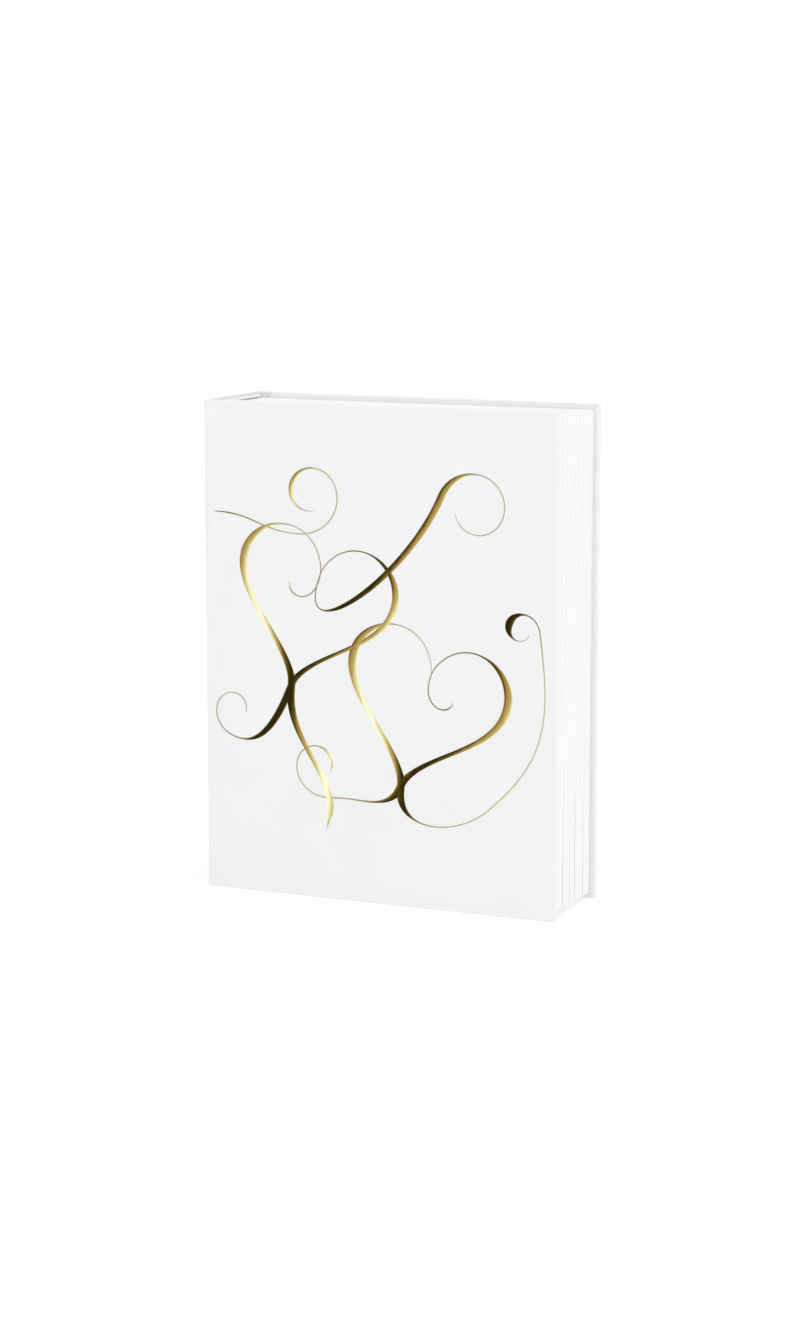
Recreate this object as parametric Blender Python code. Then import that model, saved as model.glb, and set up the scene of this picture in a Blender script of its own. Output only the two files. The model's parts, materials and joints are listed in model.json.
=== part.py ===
"""A case-bound guest book that stands on its lower edges, built as the bindery builds it.

The case is two stiff cover boards and a spine board in a white covering. The text block is a stack
of sewn sections, each on its own fold line at the spine. The X axis runs from the spine to the fore
edge, Y from the front cover to the back cover, and Z from tail to head. The origin is under the
middle of the book, on the plane that it stands on.
"""

import math

import bmesh
import bpy

MM = 0.001

# Driving dimensions, in metres.
WIDTH = 187 * MM
HEIGHT = 245 * MM
THICKNESS = 57 * MM
SQUARE = 3 * MM  # how far the covers stand past the text block at head and tail
FORE_SQUARE = 2.5 * MM
SECTIONS = 22
SECTION_THICKNESS = 1.9 * MM
BLOCK_THICKNESS = THICKNESS - 8 * MM
LEAF_AXIS_X = -WIDTH / 2 + 4.4 * MM  # the fold lines of the sections

# The layers of a cover, counted inwards from its outer face.
COVERING = 0.3 * MM
GLUE_GAP = 0.1 * MM
BOARD = 2.3 * MM
TURN_IN = 0.2 * MM
PASTEDOWN = 0.2 * MM
TURN_IN_WIDTH = 15 * MM

# The joint of the case: a flexible strip between the spine edge and the board.
HINGE_X = -WIDTH / 2 + 3 * MM
HINGE_STAND_OFF = 0.2 * MM  # how far outside the cover's face the hinge line is
BOARD_EDGE_X = -WIDTH / 2 + 10 * MM
STRIP_END_GAP = 0.2 * MM

# The sheets behind the text block, counted from the spine edge inwards, and what is fixed to them.
SHEET = 0.2 * MM
LINING_SHORT = 4 * MM  # how much shorter than the leaves it is, at each end
MULL_SHORT = 10 * MM
FLANGE_WIDTH = 25 * MM
TAPE_WIDTH = 12 * MM
TAPE_PLACES = (0.28, 0.5, 0.72)  # shares of the leaves' height
BEAD_RADIUS = 0.8 * MM
BEAD_RISE = 1.2 * MM  # from the leaves' ends to the middle of the bead
BAND_FOOT = 8 * MM
THREAD_RADIUS = 0.12 * MM
KETTLE_SWAY = 0.6 * MM
KETTLE_FROM_END = 25 * MM

# The flyleaf's solid starts this far from its fold line, so that it turns clear of its neighbour.
FLYLEAF_START = 2 * MM
FLYLEAF = 0.25 * MM
FLYLEAF_GAP = 0.3 * MM

# The fold of a section is thin, and opens out to its full thickness.
FOLD_THICKNESS = 0.3 * MM
FOLD_LENGTH = 12 * MM

# The stamped foil.
FOIL_GAP = 0.05 * MM
FOIL_THICKNESS = 0.15 * MM
FOIL_STEP = 3 * MM
FOIL_RAMP = 0.01 * MM  # a stroke thins this much along its length, so no tops share a plane
HAIRLINE = 0.55 * MM
PEN_POINT = 1.8  # the higher it is, the sooner a stroke thins as it turns away from the downstroke

HALF_WIDTH = WIDTH / 2
HALF_THICKNESS = THICKNESS / 2
FRONT, BACK = -1, 1


# ---------------------------------------------------------------- scene, collections, materials


def clear_scene():
    for obj in list(bpy.data.objects):
        bpy.data.objects.remove(obj, do_unlink=True)


def new_collection(name):
    collection = bpy.data.collections.new(name)
    bpy.context.scene.collection.children.link(collection)
    return collection


def new_material(name, colour, roughness, metallic=0.0):
    material = bpy.data.materials.new(name)
    material.use_nodes = True
    shader = material.node_tree.nodes["Principled BSDF"]
    shader.inputs["Base Color"].default_value = (*colour, 1.0)
    shader.inputs["Roughness"].default_value = roughness
    shader.inputs["Metallic"].default_value = metallic
    return material


clear_scene()
PARTS = new_collection("guest_book")
CUTTERS = new_collection("guest_book_cutters")
CUTTERS.hide_render = True

COVERING_PAPER = new_material("covering_paper", (0.90, 0.90, 0.90), 0.45)
GREYBOARD = new_material("greyboard", (0.45, 0.43, 0.40), 0.9)
ENDPAPER = new_material("endpaper", (0.93, 0.93, 0.92), 0.7)
LEAF_PAPER = new_material("leaf_paper", (0.95, 0.95, 0.94), 0.75)
KRAFT = new_material("kraft_lining", (0.50, 0.37, 0.24), 0.85)
MULL = new_material("mull_gauze", (0.85, 0.83, 0.77), 0.95)
COTTON_TAPE = new_material("cotton_tape", (0.88, 0.86, 0.80), 0.9)
THREAD = new_material("linen_thread", (0.86, 0.83, 0.74), 0.8)
BAND = new_material("band_silk", (0.93, 0.93, 0.92), 0.5)
GOLD_FOIL = new_material("gold_foil", (0.72, 0.52, 0.20), 0.2, 1.0)


# ---------------------------------------------------------------- building blocks


def place(obj, material, pivot=None, collection=PARTS):
    """Link the object, give it its material and, if it moves, parent it to its pivot."""
    obj.data.materials.append(material)
    collection.objects.link(obj)
    if pivot is not None:
        obj.parent = pivot
        obj.location -= pivot.location
    return obj


def box_mesh(name, size):
    mesh = bpy.data.meshes.new(name)
    shape = bmesh.new()
    bmesh.ops.create_cube(shape, size=1.0)
    bmesh.ops.scale(shape, vec=size, verts=shape.verts)
    shape.to_mesh(mesh)
    shape.free()
    return mesh


def box(name, x, y, z, material, pivot=None, collection=PARTS):
    """A block between two x, two y and two z values."""
    spans = [sorted(span) for span in (x, y, z)]
    obj = bpy.data.objects.new(name, box_mesh(name, [high - low for low, high in spans]))
    obj.location = [(low + high) / 2 for low, high in spans]
    return place(obj, material, pivot, collection)


def cut(obj, name, x, y, z, pivot=None):
    """Cut a block out of an object, with a cutter that stays in the cutters' collection."""
    cutter = box(name, x, y, z, obj.data.materials[0], pivot, CUTTERS)
    cutter.hide_render = True
    cutter.display_type = "WIRE"
    modifier = obj.modifiers.new(name, "BOOLEAN")
    modifier.operation = "DIFFERENCE"
    modifier.object = cutter


def outline(name, points, thickness, material, pivot=None, upright=False):
    """A flat closed outline with a thickness: in the XY plane or, if upright, in the XZ plane."""
    curve = bpy.data.curves.new(name, "CURVE")
    curve.dimensions = "2D"
    curve.fill_mode = "BOTH"
    curve.extrude = thickness / 2
    spline = curve.splines.new("POLY")
    spline.points.add(len(points) - 1)
    for point, (u, v) in zip(spline.points, points):
        point.co = (u, v, 0, 1)
    spline.use_cyclic_u = True
    obj = bpy.data.objects.new(name, curve)
    if upright:
        obj.rotation_euler.x = math.pi / 2
    return place(obj, material, pivot)


def cord(name, points, radius, material):
    """A round cord through the points, with closed ends."""
    curve = bpy.data.curves.new(name, "CURVE")
    curve.dimensions = "3D"
    curve.bevel_depth = radius
    curve.bevel_resolution = 1
    curve.use_fill_caps = True
    spline = curve.splines.new("POLY")
    spline.points.add(len(points) - 1)
    for point, (x, y, z) in zip(spline.points, points):
        point.co = (x, y, z, 1)
    return place(bpy.data.objects.new(name, curve), material)


def pivot_at(name, x, y):
    """An empty on a hinge line. What turns with the hinge is parented to it."""
    empty = bpy.data.objects.new(name, None)
    empty.location = (x, y, 0)
    empty.empty_display_size = 5 * MM
    PARTS.objects.link(empty)
    bpy.context.view_layer.update()
    return empty


# ---------------------------------------------------------------- the case's spine


def spine_case():
    outer = -HALF_WIDTH
    inner = HINGE_X
    board = (outer + COVERING + GLUE_GAP, inner - TURN_IN - GLUE_GAP)
    board_margin = COVERING + GLUE_GAP
    box(
        "spine_board",
        board,
        (-HALF_THICKNESS + board_margin, HALF_THICKNESS - board_margin),
        (board_margin, HEIGHT - board_margin),
        GREYBOARD,
    )
    wrap = box(
        "spine_covering",
        (outer, inner),
        (-HALF_THICKNESS, HALF_THICKNESS),
        (0, HEIGHT),
        COVERING_PAPER,
    )
    inside_y = (-HALF_THICKNESS + COVERING, HALF_THICKNESS - COVERING)
    room_x = (outer + COVERING, inner - TURN_IN)
    cut(wrap, "cut_spine_room", room_x, inside_y, (COVERING, HEIGHT - COVERING))
    # Between its two turn-ins the covering is open towards the text block.
    window_z = (TURN_IN_WIDTH, HEIGHT - TURN_IN_WIDTH)
    cut(wrap, "cut_spine_window", (inner - 2 * TURN_IN, inner + MM), inside_y, window_z)


def spine_sheet(number):
    """The two x values of a sheet behind the text block. Sheet 0 is next to the spine edge."""
    start = HINGE_X + GLUE_GAP + number * (SHEET + GLUE_GAP)
    return start, start + SHEET


def spine_linings():
    """What holds the sections together, from the spine board inwards."""
    width = (-BLOCK_THICKNESS / 2, BLOCK_THICKNESS / 2)
    tail, head = SQUARE, HEIGHT - SQUARE
    lining_z = (tail + LINING_SHORT, head - LINING_SHORT)
    box("spine_lining", spine_sheet(0), width, lining_z, KRAFT)
    box("mull", spine_sheet(1), width, (tail + MULL_SHORT, head - MULL_SHORT), MULL)
    for number, share in enumerate(TAPE_PLACES, start=1):
        middle = tail + share * (head - tail)
        tape_z = (middle - TAPE_WIDTH / 2, middle + TAPE_WIDTH / 2)
        box(f"sewing_tape_{number}", spine_sheet(2), width, tape_z, COTTON_TAPE)


def band_outline(end_z, up):
    """The section of a headband: a flat tape behind the text block, and a round bead past its end."""
    back, front = spine_sheet(2)
    centre_x = back + BEAD_RADIUS
    centre_z = end_z + up * BEAD_RISE
    foot_z = end_z - up * BAND_FOOT
    steps, turn = 10, math.radians(240)
    points = [(back, foot_z), (back, centre_z)]
    for step in range(1, steps + 1):
        angle = math.pi - turn * step / steps
        x = centre_x + BEAD_RADIUS * math.cos(angle)
        points.append((x, centre_z + up * BEAD_RADIUS * math.sin(angle)))
    # The bead's round meets the tape's front face at a blunt inner corner.
    points.append((front, centre_z - up * 0.7 * BEAD_RADIUS))
    points.append((front, foot_z))
    return points


def end_bands():
    length = BLOCK_THICKNESS - MM
    outline("headband", band_outline(HEIGHT - SQUARE, 1), length, BAND, upright=True)
    outline("tailband", band_outline(SQUARE, -1), length, BAND, upright=True)


def kettle_stitches():
    """The linked stitches that tie each section to the next, near head and tail."""
    pitch = BLOCK_THICKNESS / SECTIONS
    thread_x = spine_sheet(2)[0] + 0.15 * MM
    low = SQUARE + KETTLE_FROM_END
    for name, height in (("tail_kettle_stitch", low), ("head_kettle_stitch", HEIGHT - low)):
        points = []
        for number in range(2 * SECTIONS):
            y = -BLOCK_THICKNESS / 2 + (number + 0.5) * pitch / 2
            points.append((thread_x, y, height + KETTLE_SWAY * (-1) ** number))
        cord(name, points, THREAD_RADIUS, THREAD)


# ---------------------------------------------------------------- the covers


def layer(side, depth, thickness):
    """The two y values of a layer that starts this far in from a cover's outer face."""
    return side * (HALF_THICKNESS - depth), side * (HALF_THICKNESS - depth - thickness)


def cover(side, name):
    pivot = pivot_at(f"{name}_hinge", HINGE_X, side * (HALF_THICKNESS + HINGE_STAND_OFF))
    board_depth = COVERING + GLUE_GAP
    turn_in_depth = board_depth + BOARD + GLUE_GAP
    pastedown_depth = turn_in_depth + TURN_IN + GLUE_GAP
    room_margin = COVERING + GLUE_GAP
    strip_start = HINGE_X + STRIP_END_GAP
    inner_depth = turn_in_depth + TURN_IN
    beyond = 5 * MM

    box(
        f"{name}_board",
        (BOARD_EDGE_X, HALF_WIDTH - room_margin),
        layer(side, board_depth, BOARD),
        (room_margin, HEIGHT - room_margin),
        GREYBOARD,
        pivot,
    )
    wrap = box(
        f"{name}_covering",
        (strip_start, HALF_WIDTH),
        layer(side, 0, inner_depth),
        (0, HEIGHT),
        COVERING_PAPER,
        pivot,
    )
    cut(
        wrap,
        f"cut_{name}_room",
        (strip_start - beyond, HALF_WIDTH - COVERING),
        layer(side, COVERING, turn_in_depth - COVERING),
        (COVERING, HEIGHT - COVERING),
        pivot,
    )
    # The covering's strip over the joint is a single flat layer.
    cut(
        wrap,
        f"cut_{name}_joint",
        (strip_start - beyond, BOARD_EDGE_X - GLUE_GAP),
        layer(side, COVERING, beyond),
        (-beyond, HEIGHT + beyond),
        pivot,
    )
    cut(
        wrap,
        f"cut_{name}_window",
        (strip_start - beyond, HALF_WIDTH - TURN_IN_WIDTH),
        layer(side, turn_in_depth - GLUE_GAP, beyond),
        (TURN_IN_WIDTH, HEIGHT - TURN_IN_WIDTH),
        pivot,
    )
    box(
        f"{name}_joint_lining",
        (strip_start + GLUE_GAP, BOARD_EDGE_X - 2 * GLUE_GAP),
        layer(side, COVERING + GLUE_GAP, COVERING),
        (SQUARE, HEIGHT - SQUARE),
        ENDPAPER,
        pivot,
    )
    flange_margin = TURN_IN_WIDTH + 3 * MM
    box(
        f"{name}_mull_flange",
        (BOARD_EDGE_X, BOARD_EDGE_X + FLANGE_WIDTH),
        layer(side, turn_in_depth, TURN_IN),
        (flange_margin, HEIGHT - flange_margin),
        MULL,
        pivot,
    )
    box(
        f"{name}_pastedown",
        (BOARD_EDGE_X, HALF_WIDTH - FORE_SQUARE),
        layer(side, pastedown_depth, PASTEDOWN),
        (SQUARE, HEIGHT - SQUARE),
        ENDPAPER,
        pivot,
    )
    return pivot


# ---------------------------------------------------------------- the text block


def section_y(number):
    """The y of a section's fold line. Section 1 is next to the front cover."""
    pitch = BLOCK_THICKNESS / SECTIONS
    return -BLOCK_THICKNESS / 2 + (number - 0.5) * pitch


def section(number):
    """A folded gathering, thin along its fold. Its origin is on the fold line."""
    length = HALF_WIDTH - FORE_SQUARE - LEAF_AXIS_X
    fold, full = FOLD_THICKNESS / 2, SECTION_THICKNESS / 2
    points = [(0, -fold), (FOLD_LENGTH, -full), (length, -full)]
    points += [(u, -v) for u, v in reversed(points)]
    obj = outline(f"section_{number:02d}", points, HEIGHT - 2 * SQUARE, LEAF_PAPER)
    obj.location = (LEAF_AXIS_X, section_y(number), HEIGHT / 2)
    return obj


def flyleaf(side, name):
    """The free half of the endpaper. It turns about its own fold line beside the outermost section."""
    outermost = section_y(1 if side == FRONT else SECTIONS)
    middle_y = outermost + side * (SECTION_THICKNESS / 2 + FLYLEAF_GAP + FLYLEAF / 2)
    pivot = pivot_at(f"{name}_fold", LEAF_AXIS_X, middle_y)
    box(
        name,
        (LEAF_AXIS_X + FLYLEAF_START, HALF_WIDTH - FORE_SQUARE),
        (middle_y - FLYLEAF / 2, middle_y + FLYLEAF / 2),
        (SQUARE, HEIGHT - SQUARE),
        ENDPAPER,
        pivot,
    )


# ---------------------------------------------------------------- the foil ornament
#
# Two interlaced hearts with pen flourishes. A stroke is a list of (x, z) points.


def heading(points):
    (x0, z0), (x1, z1) = points[-2], points[-1]
    return math.atan2(z1 - z0, x1 - x0)


def heart_half(centre, width, tilt, side):
    """Half of a heart, from its notch to its point."""
    steps = 40
    unit = width / 32  # the formula's heart is 32 wide
    points = []
    for step in range(steps + 1):
        t = math.pi * (0.02 + 0.96 * step / steps)
        x = side * 16 * math.sin(t) ** 3 * unit
        z = (13 * math.cos(t) - 5 * math.cos(2 * t) - 2 * math.cos(3 * t) - math.cos(4 * t)) * unit
        turned_x = x * math.cos(tilt) - z * math.sin(tilt)
        turned_z = x * math.sin(tilt) + z * math.cos(tilt)
        points.append((centre[0] + turned_x, centre[1] + turned_z))
    return points


def curl(points, length, first_bend, last_bend):
    """Carry a stroke on along a spiral whose curvature, per metre, changes evenly."""
    points = list(points)
    angle = heading(points)
    x, z = points[-1]
    steps = max(6, round(length / (2 * MM)))
    stride = length / steps
    for step in range(steps):
        bend = first_bend + (last_bend - first_bend) * (step + 0.5) / steps
        angle += bend * stride / 2
        x += stride * math.cos(angle)
        z += stride * math.sin(angle)
        angle += bend * stride / 2
        points.append((x, z))
    return points


def sweep(points, target, arrival_deg, pull):
    """Carry a stroke on to a target point along a cubic curve that leaves it smoothly."""
    points = list(points)
    start = points[-1]
    leave, arrive = heading(points), math.radians(arrival_deg)
    reach = math.dist(start, target) * pull
    first = (start[0] + reach * math.cos(leave), start[1] + reach * math.sin(leave))
    second = (target[0] - reach * math.cos(arrive), target[1] - reach * math.sin(arrive))
    steps = max(10, round(math.dist(start, target) / (2 * MM)))
    for step in range(1, steps + 1):
        t = step / steps
        weights = ((1 - t) ** 3, 3 * t * (1 - t) ** 2, 3 * t * t * (1 - t), t**3)
        corners = (start, first, second, target)
        points.append(tuple(sum(w * c[axis] for w, c in zip(weights, corners)) for axis in (0, 1)))
    return points


def ornament_strokes():
    """(points, width of its heavy parts) for each stroke of the pen."""
    tilt = math.radians(-16)
    width = 84 * MM
    upper, lower = (-34 * MM, 149 * MM), (25 * MM, 103 * MM)

    stem = curl(heart_half(upper, width, tilt, -1)[::-1], 28 * MM, -30, -200)[::-1]
    stem = sweep(stem, (-28 * MM, 34 * MM), -112, 0.42)

    lobe = heart_half(upper, width, tilt, 1)
    lobe = curl(sweep(lobe, (-74.5 * MM, 77 * MM), 172, 0.35), 50 * MM, -50, -150)

    swash = heart_half(upper, width, tilt, 1)[:4][::-1]
    swash = curl(sweep(swash, (34 * MM, 203 * MM), 66, 0.60), 84 * MM, -50, -85)

    right = sweep(heart_half(lower, width, tilt, -1), (59 * MM, 52 * MM), 42, 0.5)
    right = curl(sweep(right, (85 * MM, 140 * MM), 98, 0.45), 40 * MM, 90, 200)

    last = curl(heart_half(lower, width, tilt, 1)[::-1], 28 * MM, 30, 200)[::-1]
    last = curl(sweep(last, (-25 * MM, 51 * MM), 186, 0.4), 62 * MM, -45, -130)

    cross = sweep([(-88.2 * MM, 190 * MM), (-87.2 * MM, 190 * MM)], (-43 * MM, 181 * MM), -2, 0.45)
    cross = curl(cross, 90 * MM, 38, 110)

    heavy, medium, light = 4.4 * MM, 3.9 * MM, 2.4 * MM
    return [
        (stem, heavy),
        (lobe, medium),
        (swash[::-1], medium),
        (right, heavy),
        (last, heavy),
        (cross, light),
    ]


def evenly_spaced(points, step):
    spaced = [points[0]]
    since_last = 0.0
    for start, end in zip(points, points[1:]):
        run = math.dist(start, end)
        while since_last + run >= step:
            share = (step - since_last) / run
            start = tuple(a + (b - a) * share for a, b in zip(start, end))
            spaced.append(start)
            run = math.dist(start, end)
            since_last = 0.0
        since_last += run
    return spaced


def pen_widths(points, heavy):
    """A pointed pen: heavy where it travels down the slope of the writing, and a hairline elsewhere."""
    lean = math.radians(12)
    last = len(points) - 1
    widths = []
    for index in range(last + 1):
        (x0, z0), (x1, z1) = points[max(0, index - 1)], points[min(last, index + 1)]
        down = max(0.0, -math.sin(math.atan2(z1 - z0, x1 - x0) + lean))
        widths.append(HAIRLINE + (heavy - HAIRLINE) * down**PEN_POINT)
    tip_share = 0.06
    for index, width in enumerate(widths):
        fade = min(1.0, min(index, last - index) / last / tip_share)
        widths[index] = 0.6 * HAIRLINE + (width - 0.6 * HAIRLINE) * fade
    return widths


def ribbon(name, points, heavy, order):
    """A stroke as a thin solid that lies just off the front cover's face."""
    points = evenly_spaced(points, FOIL_STEP)
    widths = pen_widths(points, heavy)
    last = len(points) - 1
    low_y = -HALF_THICKNESS - FOIL_GAP
    shape = bmesh.new()
    rings = []
    for index, ((x, z), width) in enumerate(zip(points, widths)):
        (x0, z0), (x1, z1) = points[max(0, index - 1)], points[min(last, index + 1)]
        angle = math.atan2(z1 - z0, x1 - x0)
        across_x, across_z = -math.sin(angle) * width / 2, math.cos(angle) * width / 2
        rise = FOIL_RAMP * (order + index / last)
        high_y = low_y - FOIL_THICKNESS + rise
        base_y = low_y - rise / 4
        corners = (
            (x + across_x, base_y, z + across_z),
            (x + across_x, high_y, z + across_z),
            (x - across_x, high_y, z - across_z),
            (x - across_x, base_y, z - across_z),
        )
        rings.append([shape.verts.new(corner) for corner in corners])
    for first, second in zip(rings, rings[1:]):
        for side in range(4):
            following = (side + 1) % 4
            shape.faces.new((first[side], first[following], second[following], second[side]))
    shape.faces.new(rings[0])
    shape.faces.new(rings[-1])
    bmesh.ops.recalc_face_normals(shape, faces=shape.faces)
    mesh = bpy.data.meshes.new(name)
    shape.to_mesh(mesh)
    shape.free()
    return bpy.data.objects.new(name, mesh)


def foil_ornament(pivot):
    """The strokes joined into one piece of foil."""
    strokes = [
        ribbon("foil_ornament" if order == 0 else f"join_stroke_{order}", points, heavy, order)
        for order, (points, heavy) in enumerate(ornament_strokes())
    ]
    foil = place(strokes[0], GOLD_FOIL, pivot)
    for stroke in strokes[1:]:
        place(stroke, GOLD_FOIL, pivot, CUTTERS)
        stroke.hide_render = True
        stroke.display_type = "WIRE"
        modifier = foil.modifiers.new(stroke.name, "BOOLEAN")
        modifier.operation = "UNION"
        modifier.object = stroke


# ---------------------------------------------------------------- the book


spine_case()
spine_linings()
end_bands()
kettle_stitches()
front_hinge = cover(FRONT, "front_cover")
cover(BACK, "back_cover")
for section_number in range(1, SECTIONS + 1):
    section(section_number)
flyleaf(FRONT, "front_flyleaf")
flyleaf(BACK, "back_flyleaf")
foil_ornament(front_hinge)
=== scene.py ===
"""Looks of a white wedding guest book with a gold foil ornament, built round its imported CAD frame.

The frame gives every place and size. Each visible sheet of the book is modelled as the sheet it is:
coverings turned in over their boards, joint strips that bend, endpapers that run from board to block,
and 22 sections of folded leaves. Lengths are in metres, and MM turns millimetres into them.
"""

import json
import math

import bmesh
import bpy
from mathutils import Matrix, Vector
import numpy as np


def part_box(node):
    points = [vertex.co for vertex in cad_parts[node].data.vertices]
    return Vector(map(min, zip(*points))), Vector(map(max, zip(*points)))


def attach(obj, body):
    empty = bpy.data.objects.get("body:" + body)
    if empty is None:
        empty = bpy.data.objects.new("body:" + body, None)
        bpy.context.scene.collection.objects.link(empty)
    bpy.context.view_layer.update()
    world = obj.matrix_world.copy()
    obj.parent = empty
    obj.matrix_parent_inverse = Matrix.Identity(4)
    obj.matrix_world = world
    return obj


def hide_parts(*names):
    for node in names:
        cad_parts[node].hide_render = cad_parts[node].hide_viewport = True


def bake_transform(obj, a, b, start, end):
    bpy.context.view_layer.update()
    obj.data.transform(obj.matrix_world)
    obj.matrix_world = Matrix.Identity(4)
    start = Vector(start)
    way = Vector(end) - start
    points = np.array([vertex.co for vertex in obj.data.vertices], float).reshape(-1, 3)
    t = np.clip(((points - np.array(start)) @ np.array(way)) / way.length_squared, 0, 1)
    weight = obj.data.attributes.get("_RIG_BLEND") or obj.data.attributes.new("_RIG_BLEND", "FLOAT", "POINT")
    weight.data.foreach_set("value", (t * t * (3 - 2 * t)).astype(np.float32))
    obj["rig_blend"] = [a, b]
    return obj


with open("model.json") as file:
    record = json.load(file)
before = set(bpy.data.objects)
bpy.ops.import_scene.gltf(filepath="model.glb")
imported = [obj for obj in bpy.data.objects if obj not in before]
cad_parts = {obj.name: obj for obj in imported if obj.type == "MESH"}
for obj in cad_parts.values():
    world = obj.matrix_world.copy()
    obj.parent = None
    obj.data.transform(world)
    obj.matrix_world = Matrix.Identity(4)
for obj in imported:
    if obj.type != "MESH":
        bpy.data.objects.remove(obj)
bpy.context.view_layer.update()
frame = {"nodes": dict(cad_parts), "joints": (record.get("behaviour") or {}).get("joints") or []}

MM = 0.001
FRONT, BACK = -1, 1
SIDES = ((FRONT, "front"), (BACK, "back"))

# Places taken from the frame.
JOINTS = {joint["name"]: joint for joint in frame["joints"]}
HINGE_X, HINGE_Y = JOINTS["back_cover_hinge"]["pos_m"][:2]
FOLD_X = JOINTS["section_01_fold"]["pos_m"][0]
FOLIO_Y = JOINTS["front_flyleaf_fold"]["pos_m"][1]
SPINE_LOW, SPINE_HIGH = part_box("spine_covering")
COVER_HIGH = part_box("back_cover_covering")[1]
BOARD_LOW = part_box("back_cover_board")[0]
PASTE_LOW, PASTE_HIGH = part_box("back_cover_pastedown")
SECTION_NAMES = sorted(name for name in frame["nodes"] if name.startswith("section_"))
BLOCK_LOW, BLOCK_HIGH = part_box(SECTION_NAMES[0])
HEIGHT = COVER_HIGH.z
FACE_Y = COVER_HIGH.y
FRONT_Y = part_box("front_cover_covering")[0].y
TAIL_Z, HEAD_Z = BLOCK_LOW.z, BLOCK_HIGH.z
FORE_X = BLOCK_HIGH.x

# The covering material and how it is turned in.
COVERING = 0.25 * MM
TURN_IN_WIDTH = 15 * MM
COVER_ROUND = 0.55 * MM
SPINE_ROUND = 0.9 * MM
SEAM = 0.01 * MM
MITRE_GAP = 0.16 * MM
CREASE_DEPTH = 0.1 * MM
WORN_RIM = 0.25 * MM  # how far the wear reaches in from a cover's edge
FLAT_FACE = 80 * MM**2  # a covering's faces above this area are shaded flat
EDGE_X = BOARD_LOW.x - COVERING  # where a cover's covering turns down into the joint

# The leaves.
LEAVES_PER_SECTION = 6
LEAF = 0.34 * MM
FLYLEAF = 0.25 * MM
FIXED_ENDPAPER = 0.2 * MM
WAVE = 0.04 * MM  # slow waves that neighbouring leaves share
COCKLE = 0.003 * MM  # each leaf's own unevenness
TRIM = 0.03 * MM  # unevenness of the cut at the fore edge
BEND_LENGTH = 60 * MM  # how far from the fold an opened leaf goes on curving
PARTED_AFTER = {6: 0.7 * MM, 10: 0.6 * MM, 13: 0.9 * MM, 18: 0.8 * MM}  # gap after so many sections

# The wound headbands.
BAND_BEAD = 0.8 * MM
BAND_TURN = 0.55 * MM

# The studio.
FLOOR_GLOW = 0.48
FAR_GLOW = 0.54
WORLD_LIGHT = 0.79
WORLD_SLOPE = (0.26, -0.10, 0.25)  # how the light of the surroundings grows along X, Y and Z
BACKDROP_LIGHT = 1.02
FLOOR_DEPTH = 0.02 * MM  # how far the floor lies below the book, so that no faces coincide
CAMERA_PLACE = (0.6255, -1.3898, 0.3679)
CAMERA_YAW_DEG = 24.25
CAMERA_PITCH_DEG = 9.48
CAMERA_LENS = 84.3
CAMERA_SENSOR = 36

# The foil.
HAIRLINE = 0.6 * MM
PEN_POINT = 1.8
FOIL_STEP = 0.8 * MM
FOIL_EDGE = 0.02 * MM
FOIL_CROWN = 0.09 * MM
PEN_LEAN = math.radians(12)
FOIL_LIFT = 0.006 * MM  # how far each stroke lies above the one before it
FOIL_FOOT = 0.004 * MM  # how far the foil's underside stands off the covering


def smooth(t):
    t = min(1.0, max(0.0, t))
    return t * t * (3 - 2 * t)


def lerp(a, b, t):
    return a + (b - a) * t


# ---------------------------------------------------------------- materials


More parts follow.
